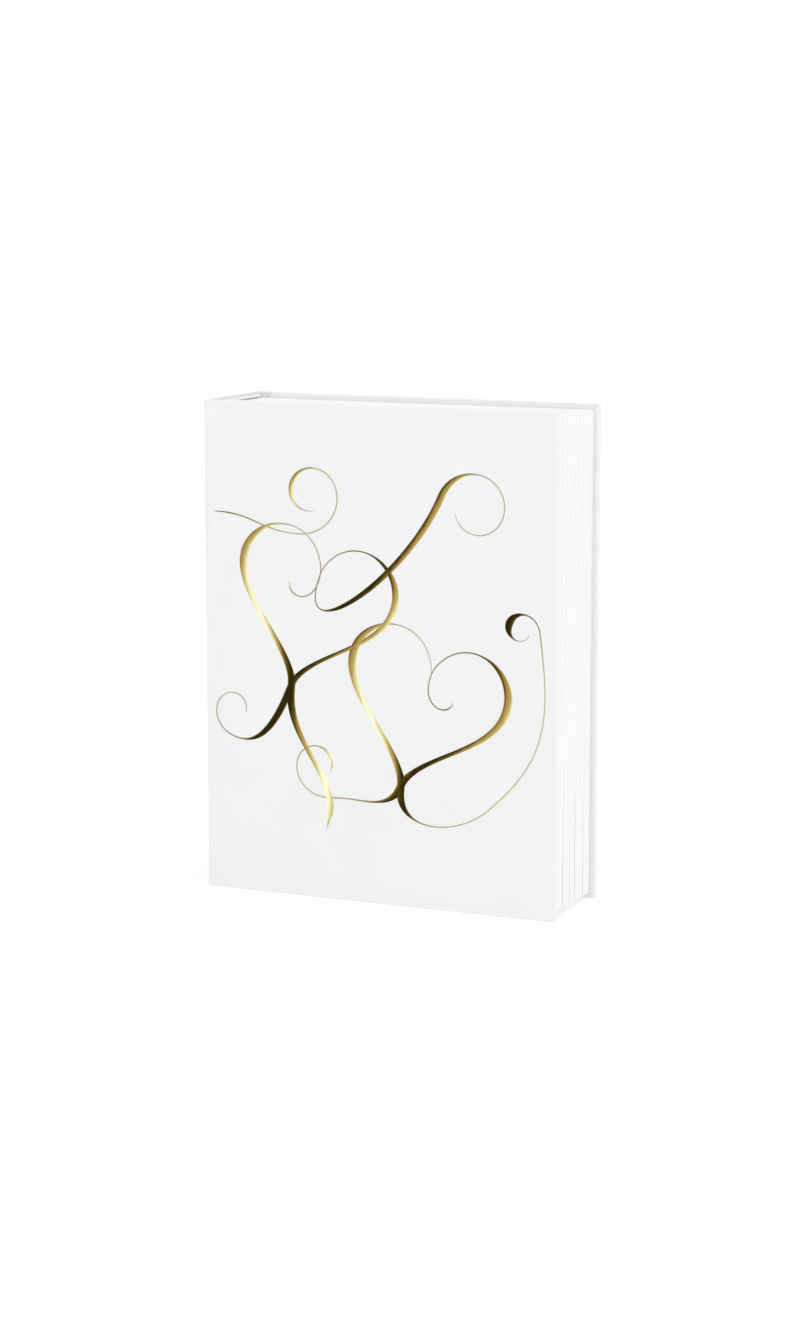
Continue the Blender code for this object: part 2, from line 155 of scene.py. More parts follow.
class Nodes:
    """A small helper that builds a Principled material out of texture nodes."""

    def __init__(self, name, roughness=0.5, metallic=0.0):
        self.material = bpy.data.materials.new(name)
        self.material.use_nodes = True
        self.tree = self.material.node_tree
        self.shader = self.tree.nodes["Principled BSDF"]
        self.shader.inputs["Roughness"].default_value = roughness
        self.shader.inputs["Metallic"].default_value = metallic
        self.place = self.tree.nodes.new("ShaderNodeTexCoord").outputs["Object"]

    def node(self, kind, settings=None, **inputs):
        made = self.tree.nodes.new(kind)
        for key, value in (settings or {}).items():
            setattr(made, key, value)
        for key, value in inputs.items():
            socket = made.inputs[key.replace("_", " ")]
            if isinstance(value, bpy.types.NodeSocket):
                self.tree.links.new(value, socket)
            else:
                socket.default_value = value
        return made

    def stretched(self, scale, turn=(0, 0, 0)):
        mapping = self.node("ShaderNodeMapping", Vector=self.place)
        mapping.inputs["Scale"].default_value = scale
        mapping.inputs["Rotation"].default_value = turn
        return mapping.outputs["Vector"]

    def noise(self, scale, detail=2.0, place=None):
        made = self.node("ShaderNodeTexNoise", Vector=place or self.place, Scale=scale, Detail=detail)
        return made.outputs["Fac"]

    def ramp(self, value, stops, smooth_steps=False):
        """stops is a list of (position, linear colour)."""
        made = self.node("ShaderNodeValToRGB", Fac=value)
        ramp = made.color_ramp
        ramp.interpolation = "EASE" if smooth_steps else "LINEAR"
        while len(ramp.elements) < len(stops):
            ramp.elements.new(0.5)
        for element, (position, colour) in zip(ramp.elements, stops):
            element.position = position
            element.color = (*colour, 1.0)
        return made.outputs["Color"]

    def maths(self, operation, first, second=0.0, third=0.0):
        made = self.tree.nodes.new("ShaderNodeMath")
        made.operation = operation
        for socket, value in zip(made.inputs, (first, second, third)):
            if isinstance(value, bpy.types.NodeSocket):
                self.tree.links.new(value, socket)
            else:
                socket.default_value = value
        return made.outputs["Value"]

    def span(self, value, low, high):
        """A value between 0 and 1 mapped to between low and high."""
        return self.maths("MULTIPLY_ADD", value, high - low, low)

    def mix(self, share, first, second):
        made = self.tree.nodes.new("ShaderNodeMix")
        made.data_type = "RGBA"
        sockets = (made.inputs["Factor"], made.inputs[6], made.inputs[7])
        for socket, value in zip(sockets, (share, first, second)):
            if isinstance(value, bpy.types.NodeSocket):
                self.tree.links.new(value, socket)
            else:
                socket.default_value = value if isinstance(value, float) else (*value, 1.0)
        return made.outputs[2]

    def colour(self, socket):
        self.tree.links.new(socket, self.shader.inputs["Base Color"])

    def roughness(self, socket):
        self.tree.links.new(socket, self.shader.inputs["Roughness"])

    def bump(self, height, depth, strength=1.0):
        made = self.node("ShaderNodeBump", Height=height, Strength=strength, Distance=depth)
        self.tree.links.new(made.outputs["Normal"], self.shader.inputs["Normal"])


def grey(level, warmth=0.0):
    return (level, level * (1 - warmth / 2), level * (1 - warmth))


def covering_material():
    """White laminated covering paper: an even, fine, soft-touch surface, faintly worn along its edges."""
    nodes = Nodes("covering_paper")
    clouds = nodes.noise(28, 3)
    tooth = nodes.noise(2600, 2)
    white = nodes.ramp(clouds, [(0.3, grey(0.824, 0.003)), (0.7, grey(0.838))])
    split = nodes.node("ShaderNodeSeparateXYZ", Vector=nodes.place)
    rim = nodes.maths("SUBTRACT", COVER_HIGH.x, split.outputs["X"])
    tail = nodes.maths("MINIMUM", rim, split.outputs["Z"])
    head = nodes.maths("MINIMUM", tail, nodes.maths("SUBTRACT", HEIGHT, split.outputs["Z"]))
    reach = nodes.maths("ADD", head, nodes.span(nodes.noise(900, 3), -0.9 * MM, 0.9 * MM))
    worn = nodes.maths("LESS_THAN", reach, WORN_RIM)
    nodes.colour(nodes.mix(nodes.maths("MULTIPLY", worn, 0.35), white, grey(0.80, 0.02)))
    nodes.roughness(nodes.span(nodes.noise(700, 2), 0.46, 0.56))
    nodes.bump(tooth, 0.004 * MM, 0.6)
    return nodes.material


def paper_material(name, low, high, warmth, roughness):
    """Uncoated paper: long faint fibres in a cloudy sheet."""
    nodes = Nodes(name, roughness)
    fibres = nodes.noise(420, 4, nodes.stretched((1, 3, 5), (0, 0.5, 0.2)))
    clouds = nodes.noise(60, 3)
    both = nodes.maths("MULTIPLY_ADD", fibres, 0.5, nodes.maths("MULTIPLY", clouds, 0.5))
    nodes.colour(nodes.ramp(both, [(0.3, grey(low, warmth)), (0.7, grey(high, warmth / 2))]))
    nodes.roughness(nodes.span(fibres, roughness - 0.06, roughness + 0.06))
    nodes.bump(nodes.noise(1900, 3), 0.012 * MM, 0.5)
    return nodes.material


def board_material():
    """Grey binder's board, pressed from flecked pulp."""
    nodes = Nodes("greyboard", 0.9)
    pulp = nodes.noise(900, 5)
    flecks = nodes.maths("GREATER_THAN", nodes.noise(1700, 2), 0.66)
    base = nodes.ramp(pulp, [(0.3, (0.33, 0.31, 0.28)), (0.7, (0.47, 0.45, 0.41))])
    nodes.colour(nodes.mix(nodes.maths("MULTIPLY", flecks, 0.6), base, (0.2, 0.19, 0.18)))
    nodes.bump(pulp, 0.05 * MM, 0.5)
    return nodes.material


def kraft_material():
    nodes = Nodes("kraft_lining", 0.8)
    fibres = nodes.noise(500, 5, nodes.stretched((4, 4, 1)))
    nodes.colour(nodes.ramp(fibres, [(0.3, (0.36, 0.24, 0.14)), (0.7, (0.52, 0.38, 0.24))]))
    nodes.bump(fibres, 0.02 * MM, 0.5)
    return nodes.material


def woven_material(name, dark, light, threads_per_m, roughness=0.9):
    """A plain weave in the YZ plane, from two crossed sets of bands."""
    nodes = Nodes(name, roughness)
    split = nodes.node("ShaderNodeSeparateXYZ", Vector=nodes.place)
    turn = threads_per_m * math.pi
    warp = nodes.maths("ABSOLUTE", nodes.maths("SINE", nodes.maths("MULTIPLY", split.outputs["Y"], turn)))
    weft = nodes.maths("ABSOLUTE", nodes.maths("SINE", nodes.maths("MULTIPLY", split.outputs["Z"], turn)))
    weave = nodes.maths("MULTIPLY", warp, weft)
    uneven = nodes.maths("MULTIPLY", weave, nodes.span(nodes.noise(300, 3), 0.7, 1.2))
    nodes.colour(nodes.ramp(uneven, [(0.05, dark), (0.75, light)]))
    nodes.bump(weave, 0.08 * MM, 0.8)
    return nodes.material


def thread_material(name, dark, light, roughness, twists_per_m):
    """Twisted yarn: fine slanting stripes."""
    nodes = Nodes(name, roughness)
    split = nodes.node("ShaderNodeSeparateXYZ", Vector=nodes.place)
    slant = nodes.maths("ADD", split.outputs["Y"], split.outputs["Z"])
    stripe = nodes.maths("SINE", nodes.maths("MULTIPLY", slant, twists_per_m * 2 * math.pi))
    half = nodes.span(stripe, 0.5, 1.0)
    nodes.colour(nodes.ramp(half, [(0.0, dark), (1.0, light)]))
    nodes.bump(half, 0.03 * MM, 0.7)
    return nodes.material


def foil_material():
    """Stamped gold foil whose colour is painted reflection: slow bands run from dark olive through ochre to
    pale yellow, as a mirror would show the room.

    The painted bands shift across the crown of a stroke, as its two sides would face different parts of the
    room.
    A hairline is too narrow to show them, and is painted as one muted olive gold.
    """
    nodes = Nodes("gold_foil", 0.24, 1.0)
    across = nodes.node("ShaderNodeAttribute", {"attribute_name": "across"}).outputs["Fac"]
    width = nodes.node("ShaderNodeAttribute", {"attribute_name": "pen_width"}).outputs["Fac"]
    split = nodes.node("ShaderNodeSeparateXYZ", Vector=nodes.stretched((1, 1, 1), (0, math.radians(-32), 0)))
    # Painted reflection: slow light and dark bands laid along the cover, as the room would mirror in the
    # foil.
    drift = nodes.span(nodes.noise(17, 2), -1.1, 1.1)
    bands = nodes.maths("MULTIPLY_ADD", split.outputs["X"], 84.0, drift)
    # The painted reflection bands shift across the crown of each stroke.
    turned = nodes.maths("MULTIPLY_ADD", across, 0.55, bands)
    wave = nodes.span(nodes.maths("SINE", turned), 0.52, 0.96)
    streaks = nodes.noise(300, 3, nodes.stretched((1.2, 1, 0.25), (0, math.radians(12), 0)))
    reflection_tone = nodes.maths("ADD", wave, nodes.span(streaks, -0.09, 0.09))
    # Painted highlight: the outer edges of each stroke are painted lighter.
    rim = nodes.maths("GREATER_THAN", nodes.maths("ABSOLUTE", across), 0.86)
    reflection_tone = nodes.maths("MULTIPLY_ADD", rim, 0.12, reflection_tone)
    # Painted reflection colours, from near black through ochre to pale yellow.
    stops = [
        (0.06, (0.026, 0.018, 0.003)),
        (0.24, (0.110, 0.078, 0.012)),
        (0.44, (0.400, 0.245, 0.066)),
        (0.62, (0.450, 0.360, 0.110)),
        (0.82, (0.700, 0.630, 0.290)),
        (0.98, (0.970, 0.920, 0.640)),
    ]
    heavy_gold_reflections = nodes.ramp(reflection_tone, stops, True)
    fine_gold_reflections = nodes.ramp(reflection_tone, [(0.1, (0.150, 0.120, 0.045)), (0.9, (0.520, 0.470, 0.270))])
    fineness = nodes.node("ShaderNodeMapRange", Value=width, From_Min=0.75, From_Max=1.6)
    nodes.colour(nodes.mix(fineness.outputs["Result"], fine_gold_reflections, heavy_gold_reflections))
    nodes.roughness(nodes.span(nodes.noise(420, 2), 0.17, 0.32))
    nodes.bump(nodes.noise(700, 2), 0.006 * MM, 0.5)
    return nodes.material


def floor_material():
    """A light table: white from below, with only a trace of shadow, and as white far from the lamps."""
    nodes = Nodes("studio_floor", 0.8)
    nodes.shader.inputs["Specular IOR Level"].default_value = 0.0
    haze = nodes.noise(2, 2)
    nodes.colour(nodes.ramp(haze, [(0.3, grey(0.535)), (0.7, grey(0.545))]))
    nodes.shader.inputs["Emission Color"].default_value = (1, 1, 1, 1)
    away = nodes.node("ShaderNodeVectorMath", {"operation": "LENGTH"}, Vector=nodes.place).outputs["Value"]
    glow = nodes.node(
        "ShaderNodeMapRange", Value=away, From_Min=0.5, From_Max=2.5, To_Min=FLOOR_GLOW, To_Max=FAR_GLOW
    )
    nodes.tree.links.new(glow.outputs["Result"], nodes.shader.inputs["Emission Strength"])
    return nodes.material


COVERING_PAPER = covering_material()
ENDPAPER = paper_material("endpaper", 0.905, 0.93, 0.008, 0.62)
LEAF_PAPER = paper_material("leaf_paper", 0.862, 0.892, 0.003, 0.72)
GREYBOARD = board_material()
KRAFT = kraft_material()
MULL = woven_material("mull_gauze", grey(0.42, 0.12), grey(0.80, 0.10), 900)
COTTON = woven_material("cotton_tape", grey(0.60, 0.10), grey(0.84, 0.08), 2200)
LINEN = thread_material("linen_thread", grey(0.55, 0.2), grey(0.80, 0.15), 0.7, 2500)
SILK = thread_material("band_silk", grey(0.80, 0.02), grey(0.90, 0.01), 0.38, 5200)
GOLD_FOIL = foil_material()


# ---------------------------------------------------------------- mesh building


def finish_mesh(name, shape, material, sharp_deg=35, flat_over=None):
    """flat_over: faces larger than this are shaded flat, so that a rounded edge doesn't bend their light."""
    bmesh.ops.recalc_face_normals(shape, faces=shape.faces)
    mesh = bpy.data.meshes.new(name)
    shape.to_mesh(mesh)
    shape.free()
    mesh.shade_smooth()
    mesh.set_sharp_from_angle(angle=math.radians(sharp_deg))
    if flat_over:
        mesh.polygons.foreach_set("use_smooth", [face.area < flat_over for face in mesh.polygons])
    mesh.materials.append(material)
    obj = bpy.data.objects.new(name, mesh)
    bpy.context.scene.collection.objects.link(obj)
    return obj


def add_sheet(shape, face_a, face_b):
    """A closed sheet between two grids of points, given as lists of rows."""
    grid_a = [[shape.verts.new(point) for point in row] for row in face_a]
    grid_b = [[shape.verts.new(point) for point in row] for row in face_b]
    rows, columns = len(grid_a), len(grid_a[0])
    for i in range(rows - 1):
        for j in range(columns - 1):
            for grid in (grid_a, grid_b):
                shape.faces.new((grid[i][j], grid[i][j + 1], grid[i + 1][j + 1], grid[i + 1][j]))
        for j in (0, columns - 1):
            shape.faces.new((grid_a[i][j], grid_a[i + 1][j], grid_b[i + 1][j], grid_b[i][j]))
    for j in range(columns - 1):
        for i in (0, rows - 1):
            shape.faces.new((grid_a[i][j], grid_a[i][j + 1], grid_b[i][j + 1], grid_b[i][j]))


def normals_of(path):
    """Unit normals of a flat path of (u, v) points."""
    found = []
    last = len(path) - 1
    for index in range(last + 1):
        (u0, v0), (u1, v1) = path[max(0, index - 1)], path[min(last, index + 1)]
        length = math.hypot(u1 - u0, v1 - v0)
        found.append((-(v1 - v0) / length, (u1 - u0) / length))
    return found


def offset_path(path, distance):
    return [(u + n * distance, v + m * distance) for (u, v), (n, m) in zip(path, normals_of(path))]


def sweep_sheet(shape, path_at, levels, thickness, point):
    """A sheet whose middle follows path_at(level) at each level. point(u, v, level) places it in space."""
    faces = ([], [])
    for level in levels:
        path = path_at(level)
        for rows, sign in zip(faces, (0.5, -0.5)):
            rows.append([point(u, v, level) for u, v in offset_path(path, sign * thickness)])
    add_sheet(shape, *faces)


def plan_point(x, y, z):
    """A path in plan, swept upwards."""
    return (x, y, z)


def side_point(z, y, x):
    """A path seen from the side, swept along X."""
    return (x, y, z)


def arc(centre, radius, start_deg, end_deg, steps):
    points = []
    for step in range(steps + 1):
        angle = math.radians(lerp(start_deg, end_deg, step / steps))
        points.append((centre[0] + radius * math.cos(angle), centre[1] + radius * math.sin(angle)))
    return points


def between(start, end, steps):
    return [lerp(start, end, step / steps) for step in range(steps + 1)]


def softened(points, rounds=2):
    """Chaikin's corner cutting on an open path, with its ends kept."""
    for _ in range(rounds):
        cut = [points[0]]
        for a, b in zip(points, points[1:]):
            cut.append((lerp(a[0], b[0], 0.25), lerp(a[1], b[1], 0.25)))
            cut.append((lerp(a[0], b[0], 0.75), lerp(a[1], b[1], 0.75)))
        cut.append(points[-1])
        points = cut
    return points


# ---------------------------------------------------------------- the case


def faces_on(shape, axis, value):
    near = 1e-6
    return [face for face in shape.faces if all(abs(v.co[axis] - value) < near for v in face.verts)]


def slice_faces(shape, axis, value, point, normal):
    """Cut the faces that lie on one plane along another plane."""
    faces = faces_on(shape, axis, value)
    edges = {edge for face in faces for edge in face.edges}
    verts = {vert for face in faces for vert in face.verts}
    geometry = faces + list(edges) + list(verts)
    bmesh.ops.bisect_plane(shape, geom=geometry, dist=1e-7, plane_co=point, plane_no=normal)


def drop_faces(shape, axis, value, unwanted):
    doomed = [face for face in faces_on(shape, axis, value) if unwanted(face.calc_center_median())]
    bmesh.ops.delete(shape, geom=doomed, context="FACES")


def block(low, high):
    shape = bmesh.new()
    bmesh.ops.create_cube(shape, size=1.0)
    for vert in shape.verts:
        vert.co = [lerp(a, b, share + 0.5) for a, b, share in zip(low, high, vert.co)]
    return shape


def round_edges(shape, chosen, radius):
    edges = [edge for edge in shape.edges if chosen(edge)]
    bmesh.ops.bevel(shape, geom=edges, offset=radius, segments=4, profile=0.5, affect="EDGES")


def thicken(obj, thickness):
    modifier = obj.modifiers.new("paper_thickness", "SOLIDIFY")
    modifier.thickness = thickness
    modifier.offset = -1
    modifier.use_even_offset = True
    return obj


def both_ends_at(edge, axis, value):
    return all(abs(vert.co[axis] - value) < 1e-7 for vert in edge.verts)


def cover_skin(side, name):
    """The covering of one board, wrapped round three edges, with its turn-ins mitred at the corners."""
    low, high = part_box(f"{name}_cover_covering")
    inner_y = high.y if side == FRONT else low.y
    shape = block((EDGE_X, low.y, low.z), high)
    round_edges(shape, lambda edge: not both_ends_at(edge, 0, EDGE_X), COVER_ROUND)
    # The turn-ins: a frame on the inner face, open towards the spine.
    window_x = high.x - TURN_IN_WIDTH
    window_z = (low.z + TURN_IN_WIDTH, high.z - TURN_IN_WIDTH)
    # At head and tail the turn-in is also pressed down over the edge of the board at the joint.
    for z in window_z:
        slice_faces(shape, 0, EDGE_X, (0, 0, z), (0, 0, 1))
    drop_faces(shape, 0, EDGE_X, lambda centre: window_z[0] < centre.z < window_z[1])
    slice_faces(shape, 1, inner_y, (window_x, 0, 0), (1, 0, 0))
    for z in window_z:
        slice_faces(shape, 1, inner_y, (0, 0, z), (0, 0, 1))
    for corner_z, slope in ((window_z[0], -1), (window_z[1], 1)):
        for shift in (-MITRE_GAP / 2, MITRE_GAP / 2):
            slice_faces(shape, 1, inner_y, (window_x + shift, 0, corner_z), (1, 0, -slope))

    def unwanted(centre):
        in_window = centre.x < window_x and window_z[0] < centre.z < window_z[1]
        past_x = centre.x - window_x
        past_z = max(window_z[0] - centre.z, centre.z - window_z[1])
        in_mitre = past_x > 0 and past_z > 0 and abs(past_x - past_z) < MITRE_GAP / 2
        return in_window or in_mitre

    drop_faces(shape, 1, inner_y, unwanted)
    obj = thicken(finish_mesh(f"{name}_cover_skin", shape, COVERING_PAPER, flat_over=FLAT_FACE), COVERING)
    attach(obj, f"{name}_cover")
    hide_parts(f"{name}_cover_covering")


def crease(x, start, end):
    """How far the joint strip dips at x."""
    return CREASE_DEPTH * math.sin(math.pi * (x - start) / (end - start)) ** 2


def joint_strip(side, name):
    """The covering over the joint: one sheet, folded back on itself at head and tail."""
    start, end = SPINE_HIGH.x + SEAM, EDGE_X - SEAM
    outer, inner = COVERING / 2, 1.7 * COVERING
    turn = (inner - outer) / 2
    middle = (inner + outer) / 2

    def path_at(x):
        tail = arc((turn + COVERING / 2, middle), turn, 90, 270, 6)
        head = arc((HEIGHT - turn - COVERING / 2, middle), turn, -90, 90, 6)
        path = [(TURN_IN_WIDTH, inner)] + tail + head + [(HEIGHT - TURN_IN_WIDTH, inner)]
        depth = crease(x, start, end)
        return [(z, side * (FACE_Y - v - depth)) for z, v in path]

    levels = between(start, start + 3 * MM, 14)[:-1] + between(start + 3 * MM, end, 8)
    shape = bmesh.new()
    sweep_sheet(shape, path_at, levels, COVERING, side_point)
    obj = finish_mesh(f"{name}_joint_strip", shape, COVERING_PAPER)
    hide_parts(f"{name}_cover_covering")
    y = side * HINGE_Y
    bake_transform(obj, "spine", f"{name}_cover", start=(start, y, 0), end=(start + 1.8 * MM, y, 0))


def spine_skin():
    """The covering of the spine board, wrapped round its long edges and turned in at head and tail."""
    inner_x = SPINE_HIGH.x
    shape = block(SPINE_LOW, SPINE_HIGH)

    def outer_or_end(edge):
        at_end = any(both_ends_at(edge, 2, z) for z in (SPINE_LOW.z, SPINE_HIGH.z))
        return both_ends_at(edge, 0, SPINE_LOW.x) or (at_end and not both_ends_at(edge, 0, inner_x))

    round_edges(shape, outer_or_end, SPINE_ROUND)
    window_z = (TURN_IN_WIDTH, HEIGHT - TURN_IN_WIDTH)
    for z in window_z:
        slice_faces(shape, 0, inner_x, (0, 0, z), (0, 0, 1))
    drop_faces(shape, 0, inner_x, lambda centre: window_z[0] < centre.z < window_z[1])
    obj = thicken(finish_mesh("spine_skin", shape, COVERING_PAPER, flat_over=FLAT_FACE), COVERING)
    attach(obj, "spine")
    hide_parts("spine_covering")


def endpaper(side, name):
    """The fixed half of the endpaper: from its fold at the block, down into the joint, over the board."""
    joint_y = FACE_Y - 0.85 * MM
    board_y = (PASTE_LOW.y + PASTE_HIGH.y) / 2
    fold_y = -FOLIO_Y
    joint = [
        (FOLD_X - 0.15 * MM, fold_y),
        (HINGE_X + 0.45 * MM, fold_y + 0.7 * MM),
        (HINGE_X + 0.30 * MM, joint_y - 0.9 * MM),
        (HINGE_X + 0.55 * MM, joint_y),
        (HINGE_X + 1.8 * MM, joint_y),
    ]
    slope = [
        (EDGE_X - 1.6 * MM, joint_y),
        (EDGE_X - 0.5 * MM, joint_y - 0.1 * MM),
        (EDGE_X - 0.25 * MM, joint_y - 1.1 * MM),
        (EDGE_X - 0.2 * MM, board_y + 0.25 * MM),
        (EDGE_X + 0.5 * MM, board_y),
    ]
    flat = [(x, board_y) for x in between(EDGE_X + 3 * MM, PASTE_HIGH.x, 12)]
    path = [(x, side * y) for x, y in softened(joint) + softened(slope) + flat]
    shape = bmesh.new()
    sweep_sheet(shape, lambda z: path, between(PASTE_LOW.z, PASTE_HIGH.z, 8), FIXED_ENDPAPER, plan_point)
    obj = finish_mesh(f"{name}_endpaper", shape, ENDPAPER)
    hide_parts(f"{name}_cover_pastedown", f"{name}_cover_joint_lining")
    start = (HINGE_X + 0.1 * MM, side * (joint_y - 0.55 * MM), 0)
    end = (HINGE_X + 1.9 * MM, side * (joint_y + 0.45 * MM), 0)
    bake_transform(obj, "spine", f"{name}_cover", start=start, end=end)


# ---------------------------------------------------------------- the text block


LEAF_COUNT = LEAVES_PER_SECTION * len(SECTION_NAMES)
BLOCK_HALF = -JOINTS["section_01_fold"]["pos_m"][1] * len(SECTION_NAMES) / (len(SECTION_NAMES) - 1)
LEAF_PITCH = 2 * BLOCK_HALF / LEAF_COUNT
PACKED_PITCH = (2 * BLOCK_HALF - sum(PARTED_AFTER.values())) / LEAF_COUNT


def even_y(leaf):
    return -BLOCK_HALF + (leaf + 0.5) * LEAF_PITCH


def parted_y(leaf):
    """Where the leaf lies once the block has fallen apart into a few groups."""
    gaps = sum(gap for after, gap in PARTED_AFTER.items() if leaf >= after * LEAVES_PER_SECTION)
    return -BLOCK_HALF + (leaf + 0.5) * PACKED_PITCH + gaps


def leaf_y(leaf, x, z):
    """Leaves lie evenly at the spine and the head, and part in groups at the fore edge near the tail."""
    parted = smooth((x + 60 * MM) / (150 * MM)) * smooth((95 * MM - z) / (92 * MM))
    middle_share = 1 - (even_y(leaf) / BLOCK_HALF) ** 2
    wave = WAVE * middle_share * math.sin(z / (33 * MM) + 0.02 * leaf)
    cockle = COCKLE * math.sin(z / (14 * MM) + 2.4 * leaf)
    towards_fore_edge = smooth((x + 30 * MM) / (120 * MM))
    return lerp(even_y(leaf), parted_y(leaf), parted) + (wave + cockle) * towards_fore_edge


def trimmed_x(leaf):
    """The fore edge is cut flush, give or take a few hundredths of a millimetre."""
    return FORE_X - TRIM * (1 + math.sin(12.9898 * leaf))


def along_leaf(leaf, fold_start):
    near = between(fold_start, fold_start + BEND_LENGTH, 14)
    return near[:-1] + between(fold_start + BEND_LENGTH, trimmed_x(leaf), 6)


def folded_sheet(shape, leaf, partner, levels):
    """One sheet folded into two leaves, with a rounded back at the spine."""
    back_radius = (LEAVES_PER_SECTION - 1) / 2 * LEAF_PITCH
    fold_start = FOLD_X + back_radius
    radius = (partner - leaf) / 2 * LEAF_PITCH
    middle_y = (even_y(leaf) + even_y(partner)) / 2

    def path_at(z):
        out = [(x, leaf_y(leaf, x, z)) for x in reversed(along_leaf(leaf, fold_start))]
        back = arc((fold_start, middle_y), radius, 270, 90, 8)[1:-1]
        home = [(x, leaf_y(partner, x, z)) for x in along_leaf(partner, fold_start)]
        return out + back + home

    sweep_sheet(shape, path_at, levels, LEAF, plan_point)


def leaf_levels():
    low = [TAIL_Z + step * MM for step in (0, 7, 15, 25, 37, 52, 70, 92)]
    return low + between(TAIL_Z + 125 * MM, HEAD_Z, 3)


def section(number, name):
    shape = bmesh.new()
    first = number * LEAVES_PER_SECTION
    for inset in range(LEAVES_PER_SECTION // 2):
        folded_sheet(shape, first + inset, first + LEAVES_PER_SECTION - 1 - inset, leaf_levels())
    obj = finish_mesh(f"{name}_leaves", shape, LEAF_PAPER)
    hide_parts(name)
    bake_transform(obj, "spine", name, start=(FOLD_X, 0, 0), end=(FOLD_X + BEND_LENGTH, 0, 0))


def flyleaf(side, name):
    """The free half of the endpaper."""
    middle_y = side * abs(FOLIO_Y)
    xs = between(FOLD_X, FOLD_X + BEND_LENGTH, 14)[:-1] + between(FOLD_X + BEND_LENGTH, FORE_X, 6)
    path = [(x, middle_y) for x in xs]
    shape = bmesh.new()
    sweep_sheet(shape, lambda z: path, between(TAIL_Z, HEAD_Z, 6), FLYLEAF, plan_point)
    obj = finish_mesh(f"{name}_free_endpaper", shape, ENDPAPER)
    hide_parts(f"{name}_flyleaf")
    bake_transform(obj, "spine", f"{name}_flyleaf", start=(FOLD_X, 0, 0), end=(FOLD_X + BEND_LENGTH, 0, 0))


def end_band(node, up):
    """A headband: a tape glued to the spine, and a bead wound with silk that caps the leaves."""
    low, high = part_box(node)
    bead = BAND_BEAD
    edge_z = high.z if up > 0 else low.z
    centre = (high.x - bead, edge_z - up * bead)
    turns_pitch = BAND_TURN
    rings = int((high.y - low.y) / (turns_pitch / 4))
    shape = bmesh.new()
    loops = []
    for ring in range(rings + 1):
        y = lerp(low.y, high.y, ring / rings)
        winding = 0.05 * MM * math.cos(2 * math.pi * y / turns_pitch)
        from_end = min(y - low.y, high.y - y)
        radius = (bead - 0.05 * MM + winding) * math.sqrt(min(1.0, 0.25 + from_end / bead))
        circle = arc(centre, radius, 0, 330, 11)
        loops.append([shape.verts.new((x, y, z)) for x, z in circle])
    for first, second in zip(loops, loops[1:]):
        for index in range(len(first)):
            following = (index + 1) % len(first)
            shape.faces.new((first[index], first[following], second[following], second[index]))
    shape.faces.new(loops[0])
    shape.faces.new(loops[-1])
    tape_x = low.x + 0.1 * MM
    foot, top = (low.z, centre[1]) if up > 0 else (centre[1], high.z)
    path = [(tape_x, low.y + 0.3 * MM), (tape_x, high.y - 0.3 * MM)]
    sweep_sheet(shape, lambda z: path, between(foot, top, 6), 0.18 * MM, plan_point)
    obj = finish_mesh(f"{node}_wound", shape, SILK, 60)
    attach(obj, "spine")
    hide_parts(node)


# ---------------------------------------------------------------- the foil ornament
#
# Two interlaced hearts with pen flourishes. A stroke is a list of (x, z) points.


def heading(points):
    (x0, z0), (x1, z1) = points[-2], points[-1]
    return math.atan2(z1 - z0, x1 - x0)


def heart_half(centre, width, tilt, side):
    """Half of a heart, from its notch to its point."""
    steps = 90
    unit = width / 32  # the formula's heart is 32 wide
    points = []
    for step in range(steps + 1):
        t = math.pi * (0.02 + 0.96 * step / steps)
        x = side * 16 * math.sin(t) ** 3 * unit
        z = (13 * math.cos(t) - 5 * math.cos(2 * t) - 2 * math.cos(3 * t) - math.cos(4 * t)) * unit
        turned_x = x * math.cos(tilt) - z * math.sin(tilt)
        turned_z = x * math.sin(tilt) + z * math.cos(tilt)
        points.append((centre[0] + turned_x, centre[1] + turned_z))
    return points


def curl(points, length, first_bend, last_bend):
    """Carry a stroke on along a spiral whose curvature, per metre, changes evenly."""
    points = list(points)
    angle = heading(points)
    x, z = points[-1]
    steps = max(6, round(length / (0.7 * MM)))
    stride = length / steps
    for step in range(steps):
        bend = lerp(first_bend, last_bend, (step + 0.5) / steps)
        angle += bend * stride / 2
        x += stride * math.cos(angle)
        z += stride * math.sin(angle)
        angle += bend * stride / 2
        points.append((x, z))
    return points


def reach_for(points, target, arrival_deg, pull):
    """Carry a stroke on to a target point along a cubic curve that leaves it smoothly."""
    points = list(points)
    start = points[-1]
    leave, arrive = heading(points), math.radians(arrival_deg)
    reach = math.dist(start, target) * pull
    first = (start[0] + reach * math.cos(leave), start[1] + reach * math.sin(leave))
    second = (target[0] - reach * math.cos(arrive), target[1] - reach * math.sin(arrive))
    steps = max(10, round(math.dist(start, target) / (0.7 * MM)))
    for step in range(1, steps + 1):
        t = step / steps
        weights = ((1 - t) ** 3, 3 * t * (1 - t) ** 2, 3 * t * t * (1 - t), t**3)
        corners = (start, first, second, target)
        points.append(tuple(sum(w * c[axis] for w, c in zip(weights, corners)) for axis in (0, 1)))
    return points


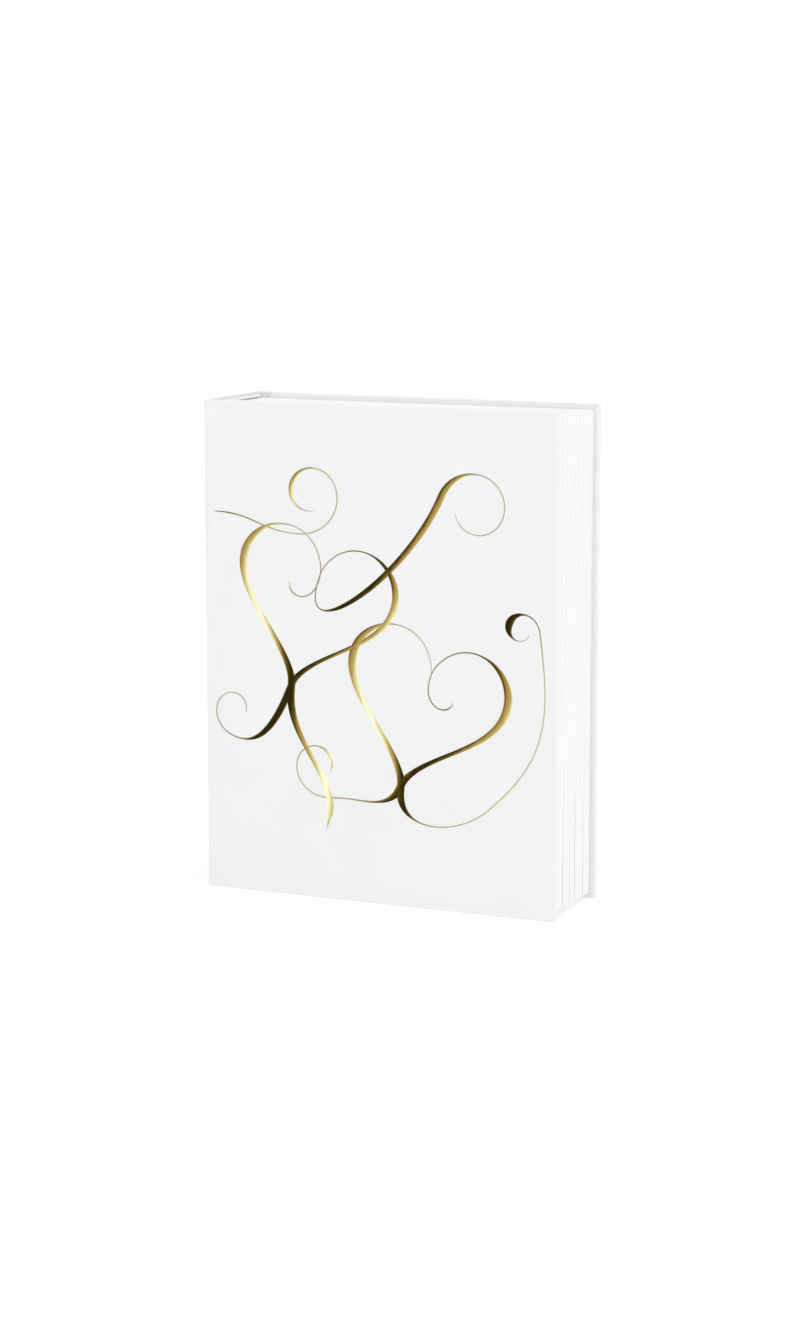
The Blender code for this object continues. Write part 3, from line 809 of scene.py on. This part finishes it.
def ornament_strokes():
    """(points, width of the heavy parts) for each stroke of the pen."""
    tilt = math.radians(-16)
    width = 84 * MM
    upper, lower = (-34 * MM, 149 * MM), (25 * MM, 103 * MM)

    stem = curl(heart_half(upper, width, tilt, -1)[::-1], 28 * MM, -30, -200)[::-1]
    stem = reach_for(stem, (-28 * MM, 34 * MM), -112, 0.42)

    lobe = heart_half(upper, width, tilt, 1)
    swash = reach_for(lobe[:8][::-1], (34 * MM, 203 * MM), 66, 0.60)
    swash = curl(swash, 84 * MM, -50, -85)[::-1]
    lobe = swash + lobe[8:]
    lobe = curl(reach_for(lobe, (-74.5 * MM, 77 * MM), 172, 0.35), 50 * MM, -50, -150)

    right = reach_for(heart_half(lower, width, tilt, -1), (59 * MM, 52 * MM), 42, 0.5)
    right = curl(reach_for(right, (85 * MM, 140 * MM), 98, 0.45), 40 * MM, 90, 200)

    last = curl(heart_half(lower, width, tilt, 1)[::-1], 28 * MM, 30, 200)[::-1]
    last = curl(reach_for(last, (-25 * MM, 51 * MM), 186, 0.4), 62 * MM, -45, -130)

    cross = reach_for([(-88.2 * MM, 190 * MM), (-87.2 * MM, 190 * MM)], (-43 * MM, 181 * MM), -2, 0.45)
    cross = curl(cross, 90 * MM, 38, 110)

    heavy, medium, light = 4.4 * MM, 3.9 * MM, 2.4 * MM
    return [(stem, heavy), (lobe, medium), (right, heavy), (last, heavy), (cross, light)]


def evenly_spaced(points, step):
    spaced = [points[0]]
    since_last = 0.0
    for start, end in zip(points, points[1:]):
        run = math.dist(start, end)
        while since_last + run >= step:
            share = (step - since_last) / run
            start = tuple(lerp(a, b, share) for a, b in zip(start, end))
            spaced.append(start)
            run = math.dist(start, end)
            since_last = 0.0
        since_last += run
    return spaced


def pen_widths(points, heavy):
    """A pointed pen: heavy where it travels down the slope of the writing, and a hairline elsewhere."""
    last = len(points) - 1
    widths = []
    for index in range(last + 1):
        (x0, z0), (x1, z1) = points[max(0, index - 1)], points[min(last, index + 1)]
        down = max(0.0, -math.sin(math.atan2(z1 - z0, x1 - x0) + PEN_LEAN))
        widths.append(HAIRLINE + (heavy - HAIRLINE) * down**PEN_POINT)
    for _ in range(12):
        inner = zip(widths, widths[1:], widths[2:])
        widths = [widths[0]] + [(a + 2 * b + c) / 4 for a, b, c in inner] + [widths[-1]]
    tip, tip_share = 0.4 * HAIRLINE, 0.06
    for index, width in enumerate(widths):
        fade = smooth(min(index, last - index) / last / tip_share)
        widths[index] = tip + (width - tip) * fade
    return widths


def foil_stroke(shape, points, heavy, order):
    """A ribbon with a slightly crowned face. Each point keeps its place across the stroke and its width."""
    across_layer = shape.verts.layers.float["across"]
    width_layer = shape.verts.layers.float["pen_width"]
    points = evenly_spaced(points, FOIL_STEP)
    widths = pen_widths(points, heavy)
    across = (-1, -0.8, -0.4, 0, 0.4, 0.8, 1)
    rows = ([], [])
    marks = []
    for (x, z), (n, m), width in zip(points, normals_of(points), widths):
        crown = FOIL_CROWN * min(1.0, width / heavy + 0.35)
        lift = FOIL_LIFT * order
        top, bottom = [], []
        for share in across:
            px, pz = x + n * share * width / 2, z + m * share * width / 2
            top.append((px, FRONT_Y - FOIL_EDGE - lift - crown * (1 - share * share), pz))
            bottom.append((px, FRONT_Y - FOIL_FOOT, pz))
            marks.append((share if n > 0 else -share, width / MM))
        rows[0].append(top)
        rows[1].append(bottom)
    first = len(shape.verts)
    add_sheet(shape, *rows)
    shape.verts.ensure_lookup_table()
    for vert, (share, width) in zip(shape.verts[first:], marks + marks):
        vert[across_layer], vert[width_layer] = share, width


def foil_ornament():
    shape = bmesh.new()
    for mark in ("across", "pen_width"):
        shape.verts.layers.float.new(mark)
    for order, (points, heavy) in enumerate(ornament_strokes(), start=1):
        foil_stroke(shape, points, heavy, order)
    obj = finish_mesh("foil_flourish", shape, GOLD_FOIL, 50)
    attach(obj, "front_cover")
    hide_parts("foil_ornament")


# ---------------------------------------------------------------- hidden parts keep their CAD shape


def finish_hidden_parts():
    finishes = {
        "spine_board": GREYBOARD,
        "front_cover_board": GREYBOARD,
        "back_cover_board": GREYBOARD,
        "front_cover_mull_flange": MULL,
        "back_cover_mull_flange": MULL,
        "mull": MULL,
        "spine_lining": KRAFT,
        "sewing_tape_1": COTTON,
        "sewing_tape_2": COTTON,
        "sewing_tape_3": COTTON,
        "head_kettle_stitch": LINEN,
        "tail_kettle_stitch": LINEN,
    }
    for node, material in finishes.items():
        mesh = frame["nodes"][node].data
        mesh.materials.clear()
        mesh.materials.append(material)


# ---------------------------------------------------------------- the studio


def studio_floor():
    shape = bmesh.new()
    bmesh.ops.create_grid(shape, x_segments=8, y_segments=8, size=30)
    obj = finish_mesh("studio_floor", shape, floor_material())
    obj.location.z = -FLOOR_DEPTH


def softbox(name, place, target, size, watts):
    data = bpy.data.lights.new(name, "AREA")
    data.shape = "RECTANGLE"
    data.size, data.size_y = size
    data.energy = watts
    lamp = bpy.data.objects.new(name, data)
    lamp.location = place
    lamp.rotation_euler = (Vector(target) - Vector(place)).to_track_quat("-Z", "Y").to_euler()
    bpy.context.scene.collection.objects.link(lamp)


def studio_light():
    world = bpy.data.worlds.new("studio")
    world.use_nodes = True
    tree = world.node_tree
    backdrop = tree.nodes["Background"]
    backdrop.inputs["Color"].default_value = (1, 1, 1, 1)
    # The camera sees a white backdrop. The book is lit by a weaker one, dimmer on the spine's side.
    place = tree.nodes.new("ShaderNodeTexCoord").outputs["Generated"]
    slope = tree.nodes.new("ShaderNodeVectorMath")
    slope.operation = "DOT_PRODUCT"
    tree.links.new(place, slope.inputs[0])
    slope.inputs[1].default_value = WORLD_SLOPE
    sky = tree.nodes.new("ShaderNodeMath")
    sky.operation = "MULTIPLY_ADD"
    tree.links.new(slope.outputs["Value"], sky.inputs[0])
    sky.inputs[1].default_value = sky.inputs[2].default_value = WORLD_LIGHT
    rays = tree.nodes.new("ShaderNodeLightPath")
    strength = tree.nodes.new("ShaderNodeMapRange")
    strength.inputs["To Max"].default_value = BACKDROP_LIGHT
    tree.links.new(sky.outputs["Value"], strength.inputs["To Min"])
    tree.links.new(rays.outputs["Is Camera Ray"], strength.inputs["Value"])
    tree.links.new(strength.outputs["Result"], backdrop.inputs["Strength"])
    bpy.context.scene.world = world
    middle = (0, 0, HEIGHT / 2)
    softbox("key", (2.0, -1.0, 0.9), middle, (1.4, 1.4), 3.0)
    softbox("overhead", (0.1, -0.5, 2.2), middle, (1.8, 1.8), 10.5)
    view = bpy.context.scene.view_settings
    view.view_transform = "Standard"
    view.look = "None"


def camera():
    """The viewpoint: a long lens to the right of the book, a little above it."""
    data = bpy.data.cameras.new("camera")
    data.sensor_width = CAMERA_SENSOR
    data.lens = CAMERA_LENS
    data.clip_start, data.clip_end = 0.05, 100
    obj = bpy.data.objects.new("camera", data)
    yaw, pitch = math.radians(CAMERA_YAW_DEG), math.radians(CAMERA_PITCH_DEG)
    forward = Vector((-math.sin(yaw) * math.cos(pitch), math.cos(yaw) * math.cos(pitch), -math.sin(pitch)))
    obj.location = CAMERA_PLACE
    obj.rotation_euler = forward.to_track_quat("-Z", "Y").to_euler()
    bpy.context.scene.collection.objects.link(obj)
    bpy.context.scene.camera = obj


# ---------------------------------------------------------------- the book


for book_side, side_name in SIDES:
    cover_skin(book_side, side_name)
    joint_strip(book_side, side_name)
    endpaper(book_side, side_name)
    flyleaf(book_side, side_name)
spine_skin()
for section_number, section_name in enumerate(SECTION_NAMES):
    section(section_number, section_name)
end_band("headband", 1)
end_band("tailband", -1)
foil_ornament()
finish_hidden_parts()
studio_floor()
studio_light()
camera()
